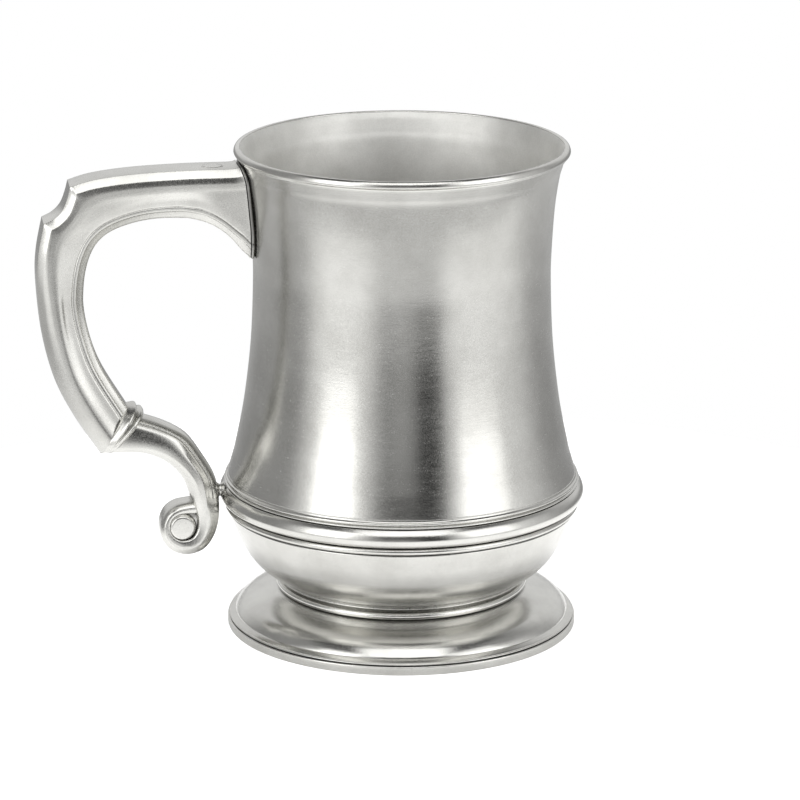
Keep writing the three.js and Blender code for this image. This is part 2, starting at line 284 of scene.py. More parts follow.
# %% Neck bead, foot shell and foot edge
neck_section = (
    [(30.6, neck_base - 0.4), (neck_radius - 0.9, neck_base - 0.4)]
    + arc((neck_radius - 0.95, neck_base + 0.65), 0.95, -75, 80, 12)
    + [(32.1, neck_top - 0.1), (31.9, neck_top + 0.25), (31.2, neck_top + 0.5), (30.6, neck_top + 0.5)]
)
turned("neck_ring", neck_section, "bright_pewter_moulding", "neck_bead")

foot_outside = [
    (32.2, 10.75), (32.9, 10.15), (34.3, 9.5), (36.6, 8.85), (39.2, 8.05), (41.2, 7.2), (42.6, 6.25),
    (43.5, 5.4), (44.05, 4.75), (44.35, 4.3), (44.45, 4.1),
]
foot_inside = [(43.9, 3.0), (42.7, 4.2), (40.2, 6.0), (36.0, 7.8), (31.5, 9.0), (29.0, 10.4), (27.2, 11.0)]
turned(
    "foot_shell",
    [(27.0, foot_top), (30.9, foot_top), (31.0, 11.2)] + through(foot_outside, 6)
    + [(44.5, 3.95), (44.9, 3.85), (45.95, 3.15)] + arc((45.9, 2.75), 0.2, 80, -60, 4)
    + [(45.6, 2.45), (43.9, 2.45)] + through(foot_inside, 5),
    "satin_pewter_foot", "foot",
)

edge_section = (
    [(43.3, edge_base + 0.2), (43.6, edge_base), (edge_radius - 0.35, edge_base)]
    + arc((edge_radius - 0.3, edge_base + 0.3), 0.3, -80, -5, 4)
    + arc((edge_radius - 0.3, edge_top - 0.3), 0.3, 5, 85, 5)
    + [(45.4, edge_top + 0.02), (43.3, edge_top + 0.1)]
)
turned("foot_edge", edge_section, "bright_pewter_moulding", "foot_rim")

# %% [markdown]
# ## Drawing the handle
#
# The handle lies in one flat plane, so it can be drawn as two curves: its back, on the outside of
# the grip, and its front, which faces the mug. Points are (reach out from the mug's axis, height).
# Where the real handle has a corner the curve stops and a new one starts, so a corner stays sharp.

# %% Back and front curves of the upper arm
arm_low, arm_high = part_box("handle_upper_arm")
reach_out = (axis_x - arm_low[0]) / MM
arm_top = arm_high[2] / MM

arm_back = [
    through([(43.6, arm_top), (57.0, arm_top), (70.7, 125.5), (81.0, 124.3), (87.1, 122.6)]),
    through([(87.1, 122.6), (87.9, 119.6), (89.2, 116.5), (91.4, 114.3), (94.0, 113.0)]),
    through([
        (94.0, 113.0), (95.7, 104.5), (reach_out, 96.5), (94.9, 83.0), (91.8, 70.5), (86.7, 60.0),
        (80.2, 49.9),
    ]),
]
arm_front = [
    through([
        (40.9, 102.15), (42.8, 103.9), (46.4, 108.3), (52.0, 111.8), (60.0, 113.5), (69.0, 113.1),
        (76.2, 110.7),
    ]),
    through([(76.2, 110.7), (78.4, 109.2), (80.4, 107.2), (81.8, 105.3)]),
    through([(81.8, 105.3), (83.6, 99.8), (84.1, 92.0), (82.8, 83.6), (79.6, 74.0), (73.0, 62.6)]),
]
print("arm reaches", round(reach_out, 2), "mm from the axis, top at", round(arm_top, 2))

# %% [markdown]
# ## Stations
#
# Curves drawn through uneven points have uneven steps, so they are walked again at even steps
# before a back point is paired with a front point. A pair does not always cross the handle squarely.
# At a mitred corner it runs on the diagonal, where a moulding has to be cut longer to keep its
# width, so every station also carries how much longer, at its back and at its front.

# %% Even steps and paired stations
def evenly(line, count):
    """`count` + 1 points at even distances along a line of points."""
    lengths = [math.dist(a, b) for a, b in zip(line, line[1:])]
    walked, i, places = 0.0, 0, [line[0]]
    for step in range(1, count):
        goal = sum(lengths) * step / count
        while walked + lengths[i] < goal:
            walked += lengths[i]
            i += 1
        share = (goal - walked) / lengths[i]
        places.append(tuple(a + (b - a) * share for a, b in zip(line[i], line[i + 1])))
    return places + [line[-1]]


LEAST_SQUARE = 0.6


def skewness(line, i, inward):
    """How much longer a cut at point i of a line is along `inward` than squarely across it."""
    a, b = line[max(i - 1, 0)], line[min(i + 1, len(line) - 1)]
    along = ((b[0] - a[0]) / math.dist(a, b), (b[1] - a[1]) / math.dist(a, b))
    square = abs(along[0] * inward[1] - along[1] * inward[0])
    return 1 / max(square, LEAST_SQUARE)


def paired(backs, fronts, counts):
    """Stations of (back, front, back stretch, front stretch) along every run of the handle."""
    stations = []
    for back, front, count in zip(backs, fronts, counts):
        back, front = evenly(back, count), evenly(front, count)
        for i, (b, f) in enumerate(zip(back, front)):
            inward = ((f[0] - b[0]) / math.dist(b, f), (f[1] - b[1]) / math.dist(b, f))
            if i or not stations:
                stations.append((b, f, skewness(back, i, inward), skewness(front, i, inward)))
    return stations


# %% [markdown]
# ## Cross sections
#
# A cross section is half an outline: how far in from the back, how wide there, and how soft the
# corner is. A place that is less than nothing in from the back is counted from the front instead.
# The corners are cut by short curves, because a cast edge that was filed and polished is never
# perfectly sharp, and those small rounds are what catch the light.

# %% Softened outlines
def toward(corner, other, distance):
    """The place `distance` from a corner towards another, at most nearly half of the way."""
    share = min(distance / math.dist(corner, other), 0.48)
    return tuple(p + (q - p) * share for p, q in zip(corner, other))


def softened(corners, steps=3):
    """Half an outline whose corners of (in, width, softness) are cut by short curves."""
    line = [corners[0][:2]]
    for a, b, c in zip(corners, corners[1:], corners[2:]):
        start, end = toward(b[:2], a[:2], b[2]), toward(b[:2], c[:2], b[2])
        for i in range(steps + 1):
            t = i / steps
            line.append(tuple(
                (1 - t) ** 2 * p + 2 * t * (1 - t) * q + t ** 2 * r for p, q, r in zip(start, b, end)
            ))
    return line + [corners[-1][:2]]


def mixed(first, second, share):
    """A list of corners part of the way from one list to another."""
    return [tuple(p + (q - p) * share for p, q in zip(a, b)) for a, b in zip(first, second)]


def smoothstep(low, high, value):
    share = min(max((value - low) / (high - low), 0.0), 1.0)
    return share * share * (3 - 2 * share)


def place(reach, across, height):
    return Vector((axis_x - reach * MM, across * MM, height * MM))


def loop_at(station, corners):
    """One closed loop of places round the handle at a station."""
    back, front, back_stretch, front_stretch = station
    depth = math.dist(back, front)
    inward = [(f - b) / depth for b, f in zip(back, front)]
    fitted = [
        (t * back_stretch if t >= 0 else depth + t * front_stretch, w, s) for t, w, s in corners[:-1]
    ] + [(depth, 0.0, 0.0)]
    outline = [(back[0] + inward[0] * t, back[1] + inward[1] * t, w) for t, w in softened(fitted)]
    near = [place(reach, -w, height) for reach, height, w in outline]
    far = [place(reach, w, height) for reach, height, w in outline[-2:0:-1]]
    return near + far


# %% [markdown]
# ## Pulling a casting along its stations
#
# A modeller would extrude one loop of edges again and again, and move and reshape it each time.
# `pulled` does the same: the first outline is wired and tied into a loop, every later loop is
# extruded from the last one and moved to its station, and both ends are filled.

# %% Pull a loop along
def pulled(bm, loops):
    row = wire(bm, loops[0])
    edges = [bm.edges.get(pair) for pair in zip(row, row[1:])] + [bm.edges.new((row[-1], row[0]))]
    bmesh.ops.contextual_create(bm, geom=edges)
    for spots in loops[1:]:
        number = {tuple(v.co): i for i, v in enumerate(row)}
        grown = bmesh.ops.extrude_edge_only(bm, edges=edges)["geom"]
        edges = [g for g in grown if isinstance(g, bmesh.types.BMEdge)]
        for v in [g for g in grown if isinstance(g, bmesh.types.BMVert)]:
            row[number[tuple(v.co)]] = v
        for v, spot in zip(row, spots):
            v.co = spot
    bmesh.ops.contextual_create(bm, geom=edges)


def cast(name, loops, body_slot, node):
    """One casting, pulled along its loops."""
    bm = bmesh.new()
    pulled(bm, loops)
    return finish_mesh(name, bm, body_slot, node)


# %% [markdown]
# ## The arm's moulding
#
# Near the lip the casting has a flat strip along its back and a full bright bevel on each side of
# the strip. The side under the bevel swells a little and draws in again toward the front, where a
# fine groove and rib run along a rounded edge. Further down the strip melts away and the back
# becomes round. Two outlines hold those two ends, and each station uses a mixture of them.

# %% Outlines of the arm
side = (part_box("handle_upper_arm")[1][1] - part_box("handle_upper_arm")[0][1]) / 2 / MM
front_moulding = [
    (-5.0, side - 1.05, 1.0), (-3.25, side - 1.5, 0.3), (-3.02, side - 1.72, 0.08), (-2.8, side - 1.58, 0.12),
    (-2.1, side - 1.7, 0.25), (-1.8, side - 2.0, 0.2), (-1.0, side - 2.5, 0.3), (-0.3, side - 2.9, 0.25),
    (-0.02, side - 3.2, 0.15), (0.0, 0.0, 0.0),
]
crisp_arm = [
    (0.0, 0.0, 0.0), (0.0, 4.6, 0.08), (0.9, 5.3, 0.3), (1.9, side - 0.3, 0.16), (2.5, side - 0.12, 0.5),
    (3.2, side, 0.6), (4.0, side - 0.04, 0.8), (4.8, side - 0.17, 0.8), (5.7, side - 0.38, 0.9),
    *front_moulding,
]
round_back = [
    (0.0, 0.0, 0.0), (0.0, 1.2, 0.9), (0.35, 2.6, 0.9), (0.9, 3.9, 0.9), (1.7, 5.0, 0.9),
    (2.7, side - 0.55, 0.9), (3.7, side - 0.14, 0.9), (4.7, side, 0.9),
]
round_arm = [*round_back, (5.7, side - 0.15, 0.9), *front_moulding]

# %% [markdown]
# ## Fitting the arm to the bell
#
# The end of the arm has to sit on a curved wall. `bell_reach` says how far out that wall is at a
# height and an offset, and the loops near the joint are eased onto it. The last few tenths are swept
# out into a thin flange, and behind the flange the loop steps in, which leaves the dark open seam
# that a soldered joint shows.

# %% Ease loops onto the wall
SEAM = 0.28
EASE = 9.0


def bell_reach(across, height, proud):
    """How far from the axis a surface `proud` of the bell lies, straight out along the handle."""
    below = next(i for i, (_, z) in enumerate(bell_curve) if z <= min(height, bell_curve[0][1]))
    (r1, z1), (r0, z0) = bell_curve[max(below - 1, 0)], bell_curve[below]
    radius = r0 + (r1 - r0) * (height - z0) / max(z1 - z0, 1e-6) + proud
    return math.sqrt(radius ** 2 - across ** 2)


def eased(loop, first, off, sweep, proud):
    """Shifts a loop as its `first` one must shift to lie on the wall, less and less with distance."""
    share = 1 - smoothstep(0.0, EASE, off)
    middle = (max(p.z for p in loop) + min(p.z for p in loop)) / 2
    tall = (max(p.z for p in loop) - min(p.z for p in loop)) / 2
    moved = []
    for p, q in zip(loop, first):
        across = p.y / MM * (1 + sweep / side)
        height = (middle + (p.z - middle) * (1 + sweep * MM / tall)) / MM
        shift = bell_reach(q.y / MM * (1 + sweep / side), q.z / MM, proud) - (axis_x - q.x) / MM
        moved.append(place((axis_x - p.x) / MM + shift * share, across, height))
    return moved


# %% Loops of the upper arm
PLATE = 1.0
ARM_COUNTS = (46, 26, 74)
stations = paired(arm_back, arm_front, ARM_COUNTS)
fade_from, fade_to = ARM_COUNTS[0] + ARM_COUNTS[1] + 6, sum(ARM_COUNTS) - 30
arm_loops = []
for i, station in enumerate(stations):
    loop = loop_at(station, mixed(crisp_arm, round_arm, smoothstep(fade_from, fade_to, i)))
    off = station[0][0] - stations[0][0][0]
    if i < ARM_COUNTS[0] and off < EASE:
        loop = eased(loop, loop_at(stations[0], crisp_arm), off, 0.4 * math.exp(-off / 0.7), PLATE + SEAM)
    arm_loops.append(loop)
print("upper arm", len(arm_loops), "loops of", len(arm_loops[0]), "places")

# %% [markdown]
# ## Fairing the belly past the notch
#
# The notch at the top of the grip mitres the strip and the bevel sharply, but the belly of the
# casting runs past it without a crease. So the places well in from the back are moved again and
# again toward the middle of their neighbours on the next loops, while the back stays as it is.

# %% Fair the belly
FAIR_REACH, FAIR_PASSES = 22, 70
FAIR_FROM, FAIR_BLEND = 17, 10
notch = range(ARM_COUNTS[0] - FAIR_REACH, ARM_COUNTS[0] + ARM_COUNTS[1] + FAIR_REACH)
for _ in range(FAIR_PASSES):
    before = [list(loop) for loop in arm_loops]
    for i in notch:
        for j, p in enumerate(before[i]):
            from_back = min(j, len(before[i]) - j)
            share = min(max((from_back - FAIR_FROM) / FAIR_BLEND, 0.0), 1.0)
            if share > 0:
                arm_loops[i][j] = p.lerp((before[i - 1][j] + before[i + 1][j]) / 2, share / 2)
print("faired", len(notch), "loops", FAIR_PASSES, "times")

# %% Upper arm
end = loop_at(stations[0], crisp_arm)
arm_loops = [eased(end, end, 0, -0.9, PLATE - 0.3), eased(end, end, 0, -0.5, PLATE + SEAM)] + arm_loops
cast("arm_casting", arm_loops, "cast_pewter_handle", "handle_upper_arm")

# %% [markdown]
# ## The joint plate and the plugged vent
#
# A thin plate, bent to the wall, lies between the arm and the bell. It shows as a pale line with a
# dark seam on each side. A hollow casting needs a hole to let its core and the gas out, and here it
# is plugged on top of the arm with a flat oval, filed flush, with only a hair line round it.

# %% Joint plate
PLATE_SWEEP = 0.3
plate_steps = [
    (-0.85, -0.25), (-0.3, 0.15), (-0.3, 0.25), (0.12, 0.35), (0.2, 0.5), (0.2, 0.8), (0.05, PLATE),
    (-0.9, PLATE),
]
plate_loops = [eased(end, end, 0, sweep + PLATE_SWEEP, proud) for sweep, proud in plate_steps]
# The plate's finish is darkened to paint the shadow between the handle and the wall.
cast("joint_plate", plate_loops, "dark_pewter_joint", "handle_pad")

# %% Vent plug
vent_low, vent_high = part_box("handle_vent_plug")
vent_middle = (vent_low + vent_high) / 2
OVAL_STEPS = 64
angles = [math.tau * i / OVAL_STEPS for i in range(OVAL_STEPS)]
oval = [(math.cos(a), math.sin(a)) for a in angles]
plug_steps = [
    (1.0, -0.5), (1.0, 0.07), (0.98, 0.1), (0.93, 0.1), (0.91, 0.03), (0.88, 0.03), (0.86, 0.1), (0.4, 0.1),
]
plug_loops = [
    [
        Vector((
            vent_middle.x + x * wide * (vent_high.x - vent_low.x) / 2,
            y * wide * (vent_high.y - vent_low.y) / 2,
            (arm_top + up) * MM,
        ))
        for x, y in oval
    ]
    for wide, up in plug_steps
]
vent_oval = cast("vent_oval", plug_loops, "dark_pewter_joint", "handle_vent_plug")

# %% [markdown]
# ## The knuckle
#
# Where the two castings meet, a double ridge wraps the handle. It is widest over the front and
# fades out before the sharp tip at the back, so its stations fan out from that tip. The swelling
# is a wave across the band: ridge, narrow groove, ridge.

# %% Outline and ridges of the knuckle
tip = arm_back[-1][-1]
knuckle_back = [(tip[0] + 0.15, tip[1] + 0.1), (tip[0] - 1.9, tip[1] + 0.12)]
knuckle_front = [(73.45, 62.9), (68.9, 59.7)]
KNUCKLE_STEPS = 48
knuckle_corners = [
    *round_back, (-6.4, side - 0.05, 1.0), (-4.4, side - 0.3, 1.0), (-2.9, side - 0.95, 1.0),
    (-1.7, side - 1.9, 1.0), (-0.8, side - 3.2, 1.0), (-0.2, side - 4.8, 0.8), (0.0, 0.0, 0.0),
]
ridge_line = through([
    (0.0, -0.1), (0.08, 0.35), (0.2, 0.8), (0.33, 1.3), (0.42, 1.55), (0.49, 1.35), (0.56, 0.75),
    (0.62, 0.95), (0.72, 1.5), (0.83, 1.4), (0.93, 0.8), (1.0, -0.1),
], 6)


def ridge(share):
    """How far the band stands proud at a share of its width: a sharp ridge, a groove, a round one."""
    after = next(i for i, (s, _) in enumerate(ridge_line) if s >= share - 1e-9)
    (s0, p0), (s1, p1) = ridge_line[max(after - 1, 0)], ridge_line[after]
    return p0 + (p1 - p0) * (share - s0) / max(s1 - s0, 1e-6)


# %% Knuckle
RIDGE_FROM, RIDGE_FULL = 0.12, 0.6
knuckle_loops = []
for i in range(KNUCKLE_STEPS + 1):
    t = i / KNUCKLE_STEPS
    back, front = [
        tuple(p + (q - p) * t for p, q in zip(*ends)) for ends in (knuckle_back, knuckle_front)
    ]
    depth = math.dist(back, front)
    proud = ridge(t)
    shares = [(d if d >= 0 else depth + d) / depth for d, _, _ in knuckle_corners]
    fade = [smoothstep(RIDGE_FROM, RIDGE_FULL, share) * proud for share in shares]
    swollen = [(d, w + up * (w > 0), s) for (d, w, s), up in zip(knuckle_corners, fade)]
    inward = ((front[0] - back[0]) / depth, (front[1] - back[1]) / depth)
    grown = (front[0] + inward[0] * proud, front[1] + inward[1] * proud)
    stretch = stations[-1][2] * (1 - t) + t
    knuckle_loops.append(loop_at((back, grown, stretch, 1.0), swollen))
cast("knuckle", knuckle_loops, "cast_pewter_handle", "handle_collar")

# %% [markdown]
# ## The scroll
#
# The lower casting springs from the knuckle, turns down to touch the girdle through a short stub,
# and curls up into a volute. Its back is round and its front carries a narrow flat moulding, which
# fades before the curl. The band grows thinner as it winds, as a drawn spiral does, and the end of
# the coil runs back into the stem, so that no cut end shows.

# %% Curves of the scroll
scroll_back = [
    through([(78.6, 50.0), (70.5, 49.9), (64.8, 48.0), (61.0, 45.2), (58.3, 41.6), (56.9, 37.6)]),
    through([
        (56.9, 37.6), (55.6, 33.6), (55.2, 29.8), (56.3, 26.9), (58.7, 26.0), (60.7, 26.6), (62.0, 28.1),
        (62.3, 30.1), (61.6, 31.9), (60.1, 32.9), (58.1, 33.2), (54.2, 33.1),
    ]),
]
scroll_front = [
    through([(69.3, 59.9), (63.1, 57.6), (57.5, 54.2), (53.25, 48.3), (50.1, 42.6), (49.05, 37.2)]),
    through([
        (49.05, 37.2), (49.1, 32.0), (50.4, 26.8), (53.2, 23.0), (57.5, 21.6), (61.6, 22.7), (64.2, 25.6),
        (64.9, 29.2), (63.7, 32.9), (61.2, 35.1), (58.2, 35.9), (54.2, 36.3),
    ]),
]
SCROLL_COUNTS, SCROLL_HALF = (56, 84), 5.85


def moulded_scroll(depth, half):
    """The section below the knuckle: a full round with a raised narrow strip along the front."""
    return [
        *round_back[:6], (0.42 * depth, half, 1.0), (0.6 * depth, half - 0.15, 0.9),
        (depth - 3.0, half - 0.6, 0.7), (depth - 2.1, half - 1.15, 0.3), (depth - 1.75, half - 1.6, 0.12),
        (depth - 1.5, half - 1.58, 0.15), (depth - 0.9, half - 2.2, 0.3), (depth - 0.35, half - 3.2, 0.4),
        (depth - 0.05, half - 4.4, 0.4), (depth, 0.0, 0.0),
    ]


def plain_scroll(depth, half, open_edge):
    """The section of the curl: a band whose face is a low roof with a soft ridge."""
    shares = (0.0, 0.03, 0.08, 0.16, 0.27, 0.38, 0.46, 0.52, 0.6, 0.7, 0.8, 0.9, 0.96, 1.0)
    falls = (2.1, 1.3, 0.75, 0.46, 0.28, 0.14, 0.05, 0.04, 0.15, 0.38, 0.7, 1.15, 1.7, 2.6)
    falls = [fall * (open_edge if share < 0.4 else 1.0) for share, fall in zip(shares, falls)]
    rounds = [(share * depth, half - fall, 0.06 * depth) for share, fall in zip(shares, falls)]
    return [(0.0, 0.0, 0.0), *rounds, (depth, 0.0, 0.0)]


# %% Scroll casting
scroll_stations = paired(scroll_back, scroll_front, SCROLL_COUNTS)
scroll_loops = []
for i, (back, front, *_) in enumerate(scroll_stations):
    depth = math.dist(back, front)
    along = i / (len(scroll_stations) - 1)
    half = SCROLL_HALF - 0.5 * smoothstep(0.1, 0.6, along) - 0.9 * smoothstep(0.7, 1.0, along)
    open_edge = 1 - 0.8 * smoothstep(0.5, 0.74, along)
    moulded, plain = moulded_scroll(depth, half), plain_scroll(depth, half, open_edge)
    share = smoothstep(0.3, 0.5, along)
    scroll_loops.append(loop_at((back, front, 1.0, 1.0), mixed(moulded, plain, share)))
bm = bmesh.new()
pulled(bm, scroll_loops)
strut_rows = through([
    (47.6, 2.2), (48.2, 1.85), (48.6, 1.66), (48.95, 1.72), (49.4, 2.1), (50.2, 2.9), (51.5, 3.4),
], 3)
STRUT_HEIGHT = 38.2
row = wire(bm, [place(reach, 0, STRUT_HEIGHT + r) for reach, r in strut_rows])
strut_edges = [bm.edges.get(pair) for pair in zip(row, row[1:])]
bmesh.ops.spin(
    bm, geom=row + strut_edges, cent=place(0, 0, STRUT_HEIGHT), axis=(1, 0, 0), angle=math.tau, steps=40,
    use_merge=True,
)
bmesh.ops.remove_doubles(bm, verts=bm.verts, dist=1e-7)
bmesh.ops.holes_fill(bm, edges=bm.edges, sides=0)
finish_mesh("scroll_casting", bm, "cast_pewter_handle", "handle_lower_scroll")

# %% [markdown]
# ## The eye of the volute
#
# The eye is a low round button on each side, cast in one with the curl. It has a flat face with a
# sloped ledge, and it is turned like a little wheel whose axle runs across the handle. A wider web
# behind the two faces closes the middle of the coil.

# %% Eye button
eye_low, eye_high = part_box("volute_eye")
eye_middle = (eye_low + eye_high) / 2
eye_half = (eye_high.y - eye_low.y) / 2 / MM
eye_radius = (eye_high.z - eye_low.z) / 2 / MM
web_radius = eye_radius + 1.3
half_face = (
    [(web_radius, 0.0), (web_radius, eye_half - 1.9), (eye_radius + 0.4, eye_half - 1.8)]
    + through([(eye_radius + 0.2, eye_half - 0.95), (eye_radius - 0.35, eye_half - 0.12)], 3)
    + through([(eye_radius - 0.6, eye_half - 0.02), (1.4, eye_half), (0, eye_half)], 4)
)
print("eye radius", round(eye_radius, 2), "half", round(eye_half, 2), "middle", eye_middle[:])
profile = [(r, -y) for r, y in reversed(half_face)] + half_face[1:]
bm = bmesh.new()
row = wire(bm, [Vector((eye_middle.x, y * MM, eye_middle.z + r * MM)) for r, y in profile])
bmesh.ops.spin(
    bm, geom=bm.verts[:] + bm.edges[:], cent=eye_middle, axis=(0, 1, 0), angle=math.tau, steps=72,
    use_merge=True,
)
finish_mesh("eye_button", bm, "cast_pewter_handle", "volute_eye")

# %% [markdown]
# ## Finding the hollows
#
# Old pewter is dark where a cloth can't reach: in seams, in grooves and beside beads, which are also the
# places where shade falls. Each corner of every mesh sends out a dome of short feelers. How many of them
# strike metal, and how soon, is softened along the edges and kept on the mesh as `hollow`. The materials use
# it to lay the patina together with painted shade, and it stays right from every side, because it belongs to
# the surface.

# %% Hollow attribute
FEELER, SKIN = 2.4 * MM, 0.02 * MM
SOFTENINGS = 2


def feelers(count=26):
    """Directions spread evenly over a dome round +Z."""
    spread = []
    for i in range(count):
        height = math.sqrt(1 - (i + 0.5) / count)
        turn = i * math.pi * (3 - math.sqrt(5))
        flat = math.sqrt(1 - height * height)
        spread.append(Vector((flat * math.cos(turn), flat * math.sin(turn), height)))
    return spread


whole = bmesh.new()
for piece in pieces:
    whole.from_mesh(piece.data)
metal = BVHTree.FromBMesh(whole)
whole.free()
dome = feelers()
for piece in pieces:
    mesh = piece.data
    hollow = mesh.attributes.new("hollow", "FLOAT", "POINT")
    depths = []
    for v in mesh.vertices:
        turn = Vector((0, 0, 1)).rotation_difference(v.normal)
        start = v.co + v.normal * SKIN
        met = 0.0
        for feeler in dome:
            distance = metal.ray_cast(start, turn @ feeler, FEELER)[3]
            met += 1 - distance / FEELER if distance is not None else 0.0
        depths.append(met / len(dome))
    for _ in range(SOFTENINGS):
        totals = [2 * depth for depth in depths]
        shares = [2] * len(depths)
        for edge in mesh.edges:
            a, b = edge.vertices
            totals[a] += depths[b]
            totals[b] += depths[a]
            shares[a] += 1
            shares[b] += 1
        depths = [total / share for total, share in zip(totals, shares)]
    # This mask lays real patina and painted shade together in seams, grooves and beside beads.
    hollow.data.foreach_set("value", depths)
    print(piece.name, "hollow up to", round(max(depths), 2))

# %% [markdown]
# ## Marking the inside
#
# The inside of the mug was never burnished. It is paler and more matt than the outside, so its faces
# are marked too: they are the ones that look towards the axis, and the floor of the bowl.

# %% Inside attribute
DISH_RADIUS, DISH_LEVEL = 40 * MM, 15 * MM
for piece in (bell_wall, bowl_shell):
    mesh = piece.data
    inside = mesh.attributes.new("inside", "FLOAT", "POINT")
    marks = []
    for v in mesh.vertices:
        outward = Vector((v.co.x - axis_x, v.co.y, 0))
        looks_in = v.normal.dot(outward.normalized()) < -0.1
        in_dish = v.co.z > DISH_LEVEL and outward.length < DISH_RADIUS
        marks.append(1.0 if looks_in or (in_dish and v.normal.z > 0.5) else 0.0)
    inside.data.foreach_set("value", marks)
    print(piece.name, int(sum(marks)), "inside corners")

# %% [markdown]
# ## Grain
#
# Satin pewter is not one even grey. It is rubbed with a fine abrasive, so close up it has a small
# sandy grain, and over a few centimetres it clouds a little lighter and darker. Both are noise in
# the object's own coordinates at two scales. Several materials need them, so they are a node group.

# %% Node helpers
def group(name, inputs, outputs):
    """A new shader node group with named inputs (name, kind, default) and outputs (name, kind)."""
    tree = bpy.data.node_groups.new(name, "ShaderNodeTree")
    for label, kind, default in inputs:
        socket = tree.interface.new_socket(label, in_out="INPUT", socket_type="NodeSocket" + kind)
        if default is not None:
            socket.default_value = default
    for label, kind in outputs:
        tree.interface.new_socket(label, in_out="OUTPUT", socket_type="NodeSocket" + kind)
    return tree, tree.nodes.new("NodeGroupInput").outputs, tree.nodes.new("NodeGroupOutput").inputs


def calc(tree, operation, a, b=None, clamp=False):
    """A Math node; each of a and b is a socket or a number."""
    node = tree.nodes.new("ShaderNodeMath")
    node.operation = operation
    node.use_clamp = clamp
    for socket, value in zip(node.inputs, (a, b)):
        if isinstance(value, (int, float)):
            socket.default_value = value
        elif value is not None:
            tree.links.new(value, socket)
    return node.outputs[0]


def noise(tree, place, scale, detail=3.0, roughness=0.55):
    node = tree.nodes.new("ShaderNodeTexNoise")
    tree.links.new(place, node.inputs["Vector"])
    node.inputs["Detail"].default_value = detail
    node.inputs["Roughness"].default_value = roughness
    if isinstance(scale, (int, float)):
        node.inputs["Scale"].default_value = scale
    else:
        tree.links.new(scale, node.inputs["Scale"])
    return node.outputs["Fac"]


def ramp(tree, value, low, high, to_low=0.0, to_high=1.0):
    node = tree.nodes.new("ShaderNodeMapRange")
    node.interpolation_type = "SMOOTHSTEP"
    for label, number in (("From Min", low), ("From Max", high), ("To Min", to_low), ("To Max", to_high)):
        node.inputs[label].default_value = number
    tree.links.new(value, node.inputs["Value"])
    return node.outputs[0]


def tone(tree, share, dark, light):
    """A colour between two others."""
    node = tree.nodes.new("ShaderNodeMix")
    node.data_type = "RGBA"
    for socket, value in ((node.inputs[0], share), (node.inputs[6], dark), (node.inputs[7], light)):
        if isinstance(value, tuple):
            socket.default_value = (*value, 1.0)
        else:
            tree.links.new(value, socket)
    return node.outputs[2]


# %% Rubbed grain group
grain, source, result = group(
    "rubbed_grain",
    [("Place", "Vector", None), ("Grain Scale", "Float", 2600.0), ("Cloud Scale", "Float", 70.0)],
    [("Grain", "Float"), ("Cloud", "Float")],
)
grain.links.new(noise(grain, source["Place"], source["Grain Scale"], 2.0, 0.6), result["Grain"])
grain.links.new(noise(grain, source["Place"], source["Cloud Scale"], 4.0, 0.6), result["Cloud"])

# %% [markdown]
# ## Turning lines
#
# A lathe leaves lines that run round the piece. They are noise that is stretched along the turn:
# it changes quickly with height and with radius, and hardly at all with the angle.

# %% Turning lines group
lines, source, result = group(
    "turning_lines",
    [("Place", "Vector", None), ("Line Scale", "Float", 1500.0), ("Breaks", "Float", 9.0)],
    [("Lines", "Float")],
)
apart = lines.nodes.new("ShaderNodeSeparateXYZ")
lines.links.new(source["Place"], apart.inputs[0])
radius = calc(lines, "SQRT", calc(
    lines, "ADD", calc(lines, "MULTIPLY", apart.outputs[0], apart.outputs[0]),
    calc(lines, "MULTIPLY", apart.outputs[1], apart.outputs[1]),
))
angle = calc(lines, "ARCTAN2", apart.outputs[1], calc(lines, "MULTIPLY", apart.outputs[0], -1.0))
together = lines.nodes.new("ShaderNodeCombineXYZ")
lines.links.new(calc(lines, "MULTIPLY", radius, source["Line Scale"]), together.inputs[0])
lines.links.new(calc(lines, "MULTIPLY", angle, source["Breaks"]), together.inputs[1])
lines.links.new(calc(lines, "MULTIPLY", apart.outputs[2], source["Line Scale"]), together.inputs[2])
lines.links.new(noise(lines, together.outputs[0], 1.0, 3.0, 0.65), result["Lines"])

# %% [markdown]
# ## Patina and painted shade
#
# The dark tone in the hollows found above is partly patina and partly painted shade. Its border is broken up
# by noise, because the patina was wiped off by hand, and the same mask that darkens the colour also makes the
# metal there duller.

# %% Hollow shade and patina group
shade_and_patina, source, result = group(
    "hollow_shade_and_patina",
    [("Hollow", "Float", 0.0), ("Place", "Vector", None), ("Start", "Float", 0.16), ("End", "Float", 0.6)],
    [("Shade and Patina", "Float")],
)
# The mask here is patina and painted shade in the hollows.
ragged = calc(shade_and_patina, "MULTIPLY", calc(shade_and_patina, "SUBTRACT", noise(shade_and_patina, source["Place"], 900.0), 0.5), 0.12)
reached = calc(shade_and_patina, "ADD", source["Hollow"], ragged)
spread = shade_and_patina.nodes.new("ShaderNodeMapRange")
spread.interpolation_type = "SMOOTHSTEP"
shade_and_patina.links.new(reached, spread.inputs["Value"])
shade_and_patina.links.new(source["Start"], spread.inputs["From Min"])
shade_and_patina.links.new(source["End"], spread.inputs["From Max"])
shade_and_patina.links.new(spread.outputs[0], result["Shade and Patina"])

# %% [markdown]
# ## The pewter finishes
#
# All the finishes are one alloy, so they share one builder. They differ a little in polish and more
# in texture: the mouldings are smooth, the wall and foot carry lathe lines, the handle is sandy from
# its mould, and the joint metal is dull and a little dark, darkened further as a painted shadow between
# handle and wall. Pewter is a metal, so its colour is the colour of its reflection, a pale grey that is very
# slightly warm.

